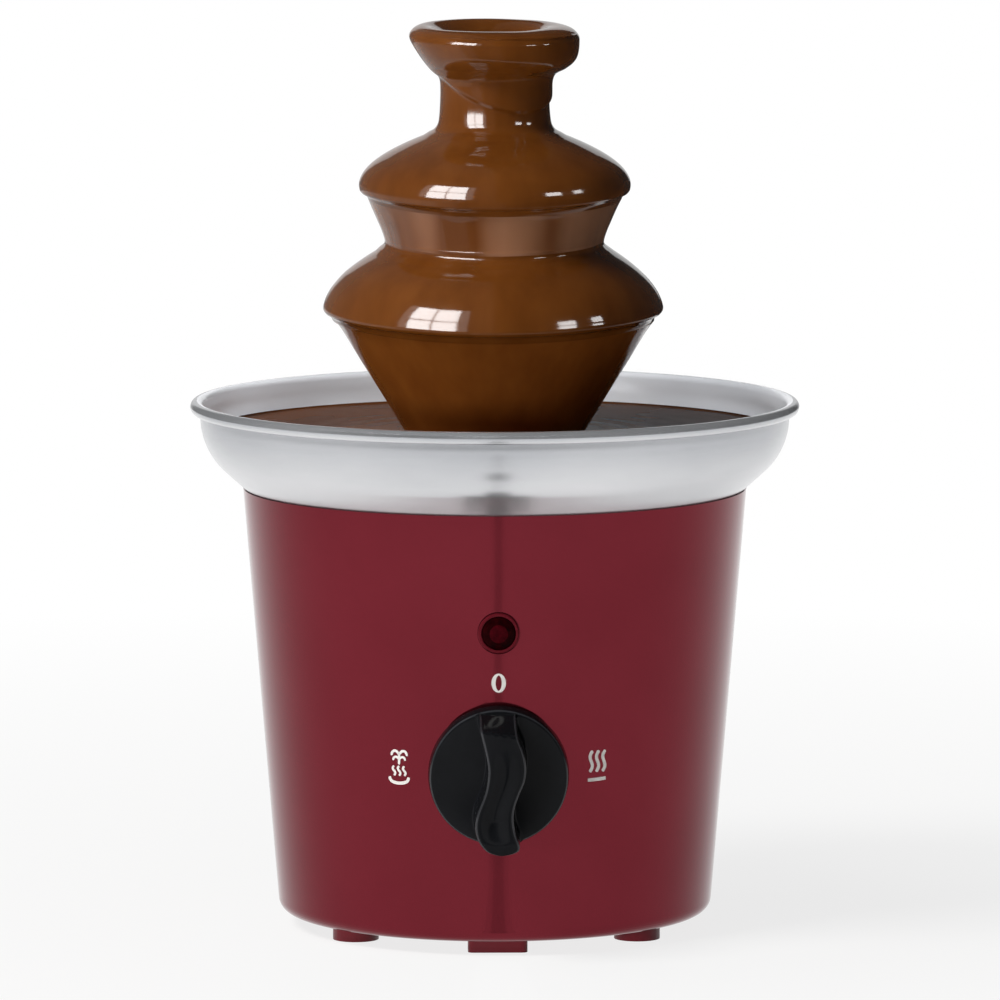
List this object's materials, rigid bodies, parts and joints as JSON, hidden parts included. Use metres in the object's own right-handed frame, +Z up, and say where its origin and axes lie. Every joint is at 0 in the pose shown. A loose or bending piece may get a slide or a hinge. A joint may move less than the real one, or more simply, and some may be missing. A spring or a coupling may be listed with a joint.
{
  "type": "chocolate fountain",
  "caption": "Table-top chocolate fountain: tapered plastic base with a rotary knob and pilot lamp, rolled-rim steel bowl and a tiered tower with an auger, running with chocolate.",
  "frame": {"origin": "on the table under the middle of the base", "axes": "+Z up along the auger, -Y towards the control knob, +X to the right as seen from the front"},
  "size_m": [0.176, 0.176, 0.261],
  "materials": {
    "red_plastic": "glossy dark red moulding",
    "bowl_steel": "satin drawn stainless",
    "zinc_steel": "zinc plated",
    "rubber_black": "matt moulded",
    "nylon_white": "moulded nylon",
    "aluminium_plate": "as cut",
    "element_sheath": "heat-darkened",
    "thermostat_case": "moulded phenolic",
    "silicone": "translucent white",
    "winding_tape": "taped winding",
    "ferrite": "pressed ferrite",
    "black_plastic": "moulded",
    "knob_black": "glossy black moulding",
    "tower_plastic": "food-grade moulding",
    "chocolate": "wet glossy milk chocolate",
    "lens_red": "clear dark red lens"
  },
  "bodies": {
    "base": {"base_housing": "red_plastic", "base_plate": "red_plastic", "base_screws": "zinc_steel", "cord_grommet": "rubber_black", "terminal_block": "nylon_white", "bowl": "bowl_steel", "bowl_studs": "zinc_steel", "stud_nuts": "zinc_steel", "heat_plate": "aluminium_plate", "heating_element": "element_sheath", "thermostat": "thermostat_case", "thermal_fuse": "thermostat_case", "shaft_seal": "silicone", "motor_bracket": "zinc_steel", "gearbox_lid": "nylon_white", "gear_case": "nylon_white", "gear_plate": "zinc_steel", "motor_can": "zinc_steel", "stator_coil": "winding_tape", "motor_screws": "zinc_steel", "idler_pin": "zinc_steel", "chocolate_pool": "chocolate", "rotary_switch": "black_plastic", "switch_nut": "zinc_steel", "pilot_lens": "lens_red", "pilot_lamp": "nylon_white", "lamp_clip": "zinc_steel"},
    "knob": {"control_knob": "knob_black", "switch_shaft": "nylon_white"},
    "drive": {"output_shaft": "zinc_steel", "output_gear": "nylon_white", "drive_dog": "black_plastic"},
    "idler": {"idler_gear": "nylon_white"},
    "rotor": {"rotor_magnet": "ferrite", "rotor_shaft": "zinc_steel", "rotor_pinion": "nylon_white"},
    "auger": {"auger": "nylon_white"},
    "tower": {"tower_tube": "tower_plastic", "lower_tier": "tower_plastic", "upper_tier": "tower_plastic", "crown": "tower_plastic", "chocolate_lower_flow": "chocolate", "chocolate_upper_flow": "chocolate", "chocolate_crown_flow": "chocolate"}
  },
  "joints": [
    {"name": "knob_turn", "type": "hinge", "parent": "base", "child": "knob", "pos_m": [0, -0.06663, 0.0535], "axis": [0, -0.9965, -0.0831], "range_deg": [-90, 90]},
    {"name": "rotor_spin", "type": "hinge", "parent": "base", "child": "rotor", "pos_m": [0, 0, 0.04], "axis": [0, 0, 1], "continuous": true},
    {"name": "idler_spin", "type": "hinge", "parent": "base", "child": "idler", "pos_m": [0.014, 0, 0.05], "axis": [0, 0, 1], "continuous": true},
    {"name": "drive_spin", "type": "hinge", "parent": "base", "child": "drive", "pos_m": [0, 0, 0.08], "axis": [0, 0, 1], "continuous": true},
    {"name": "auger_lift", "type": "slide", "parent": "drive", "child": "auger", "axis": [0, 0, 1], "range_m": [0, 0.15]},
    {"name": "tower_lift", "type": "slide", "parent": "base", "child": "tower", "axis": [0, 0, 1], "range_m": [0, 0.16]}
  ],
  "couplings": [
    {"joint": "idler_spin", "follows": "rotor_spin", "ratio": -0.33333},
    {"joint": "drive_spin", "follows": "rotor_spin", "ratio": 0.11111}
  ]
}
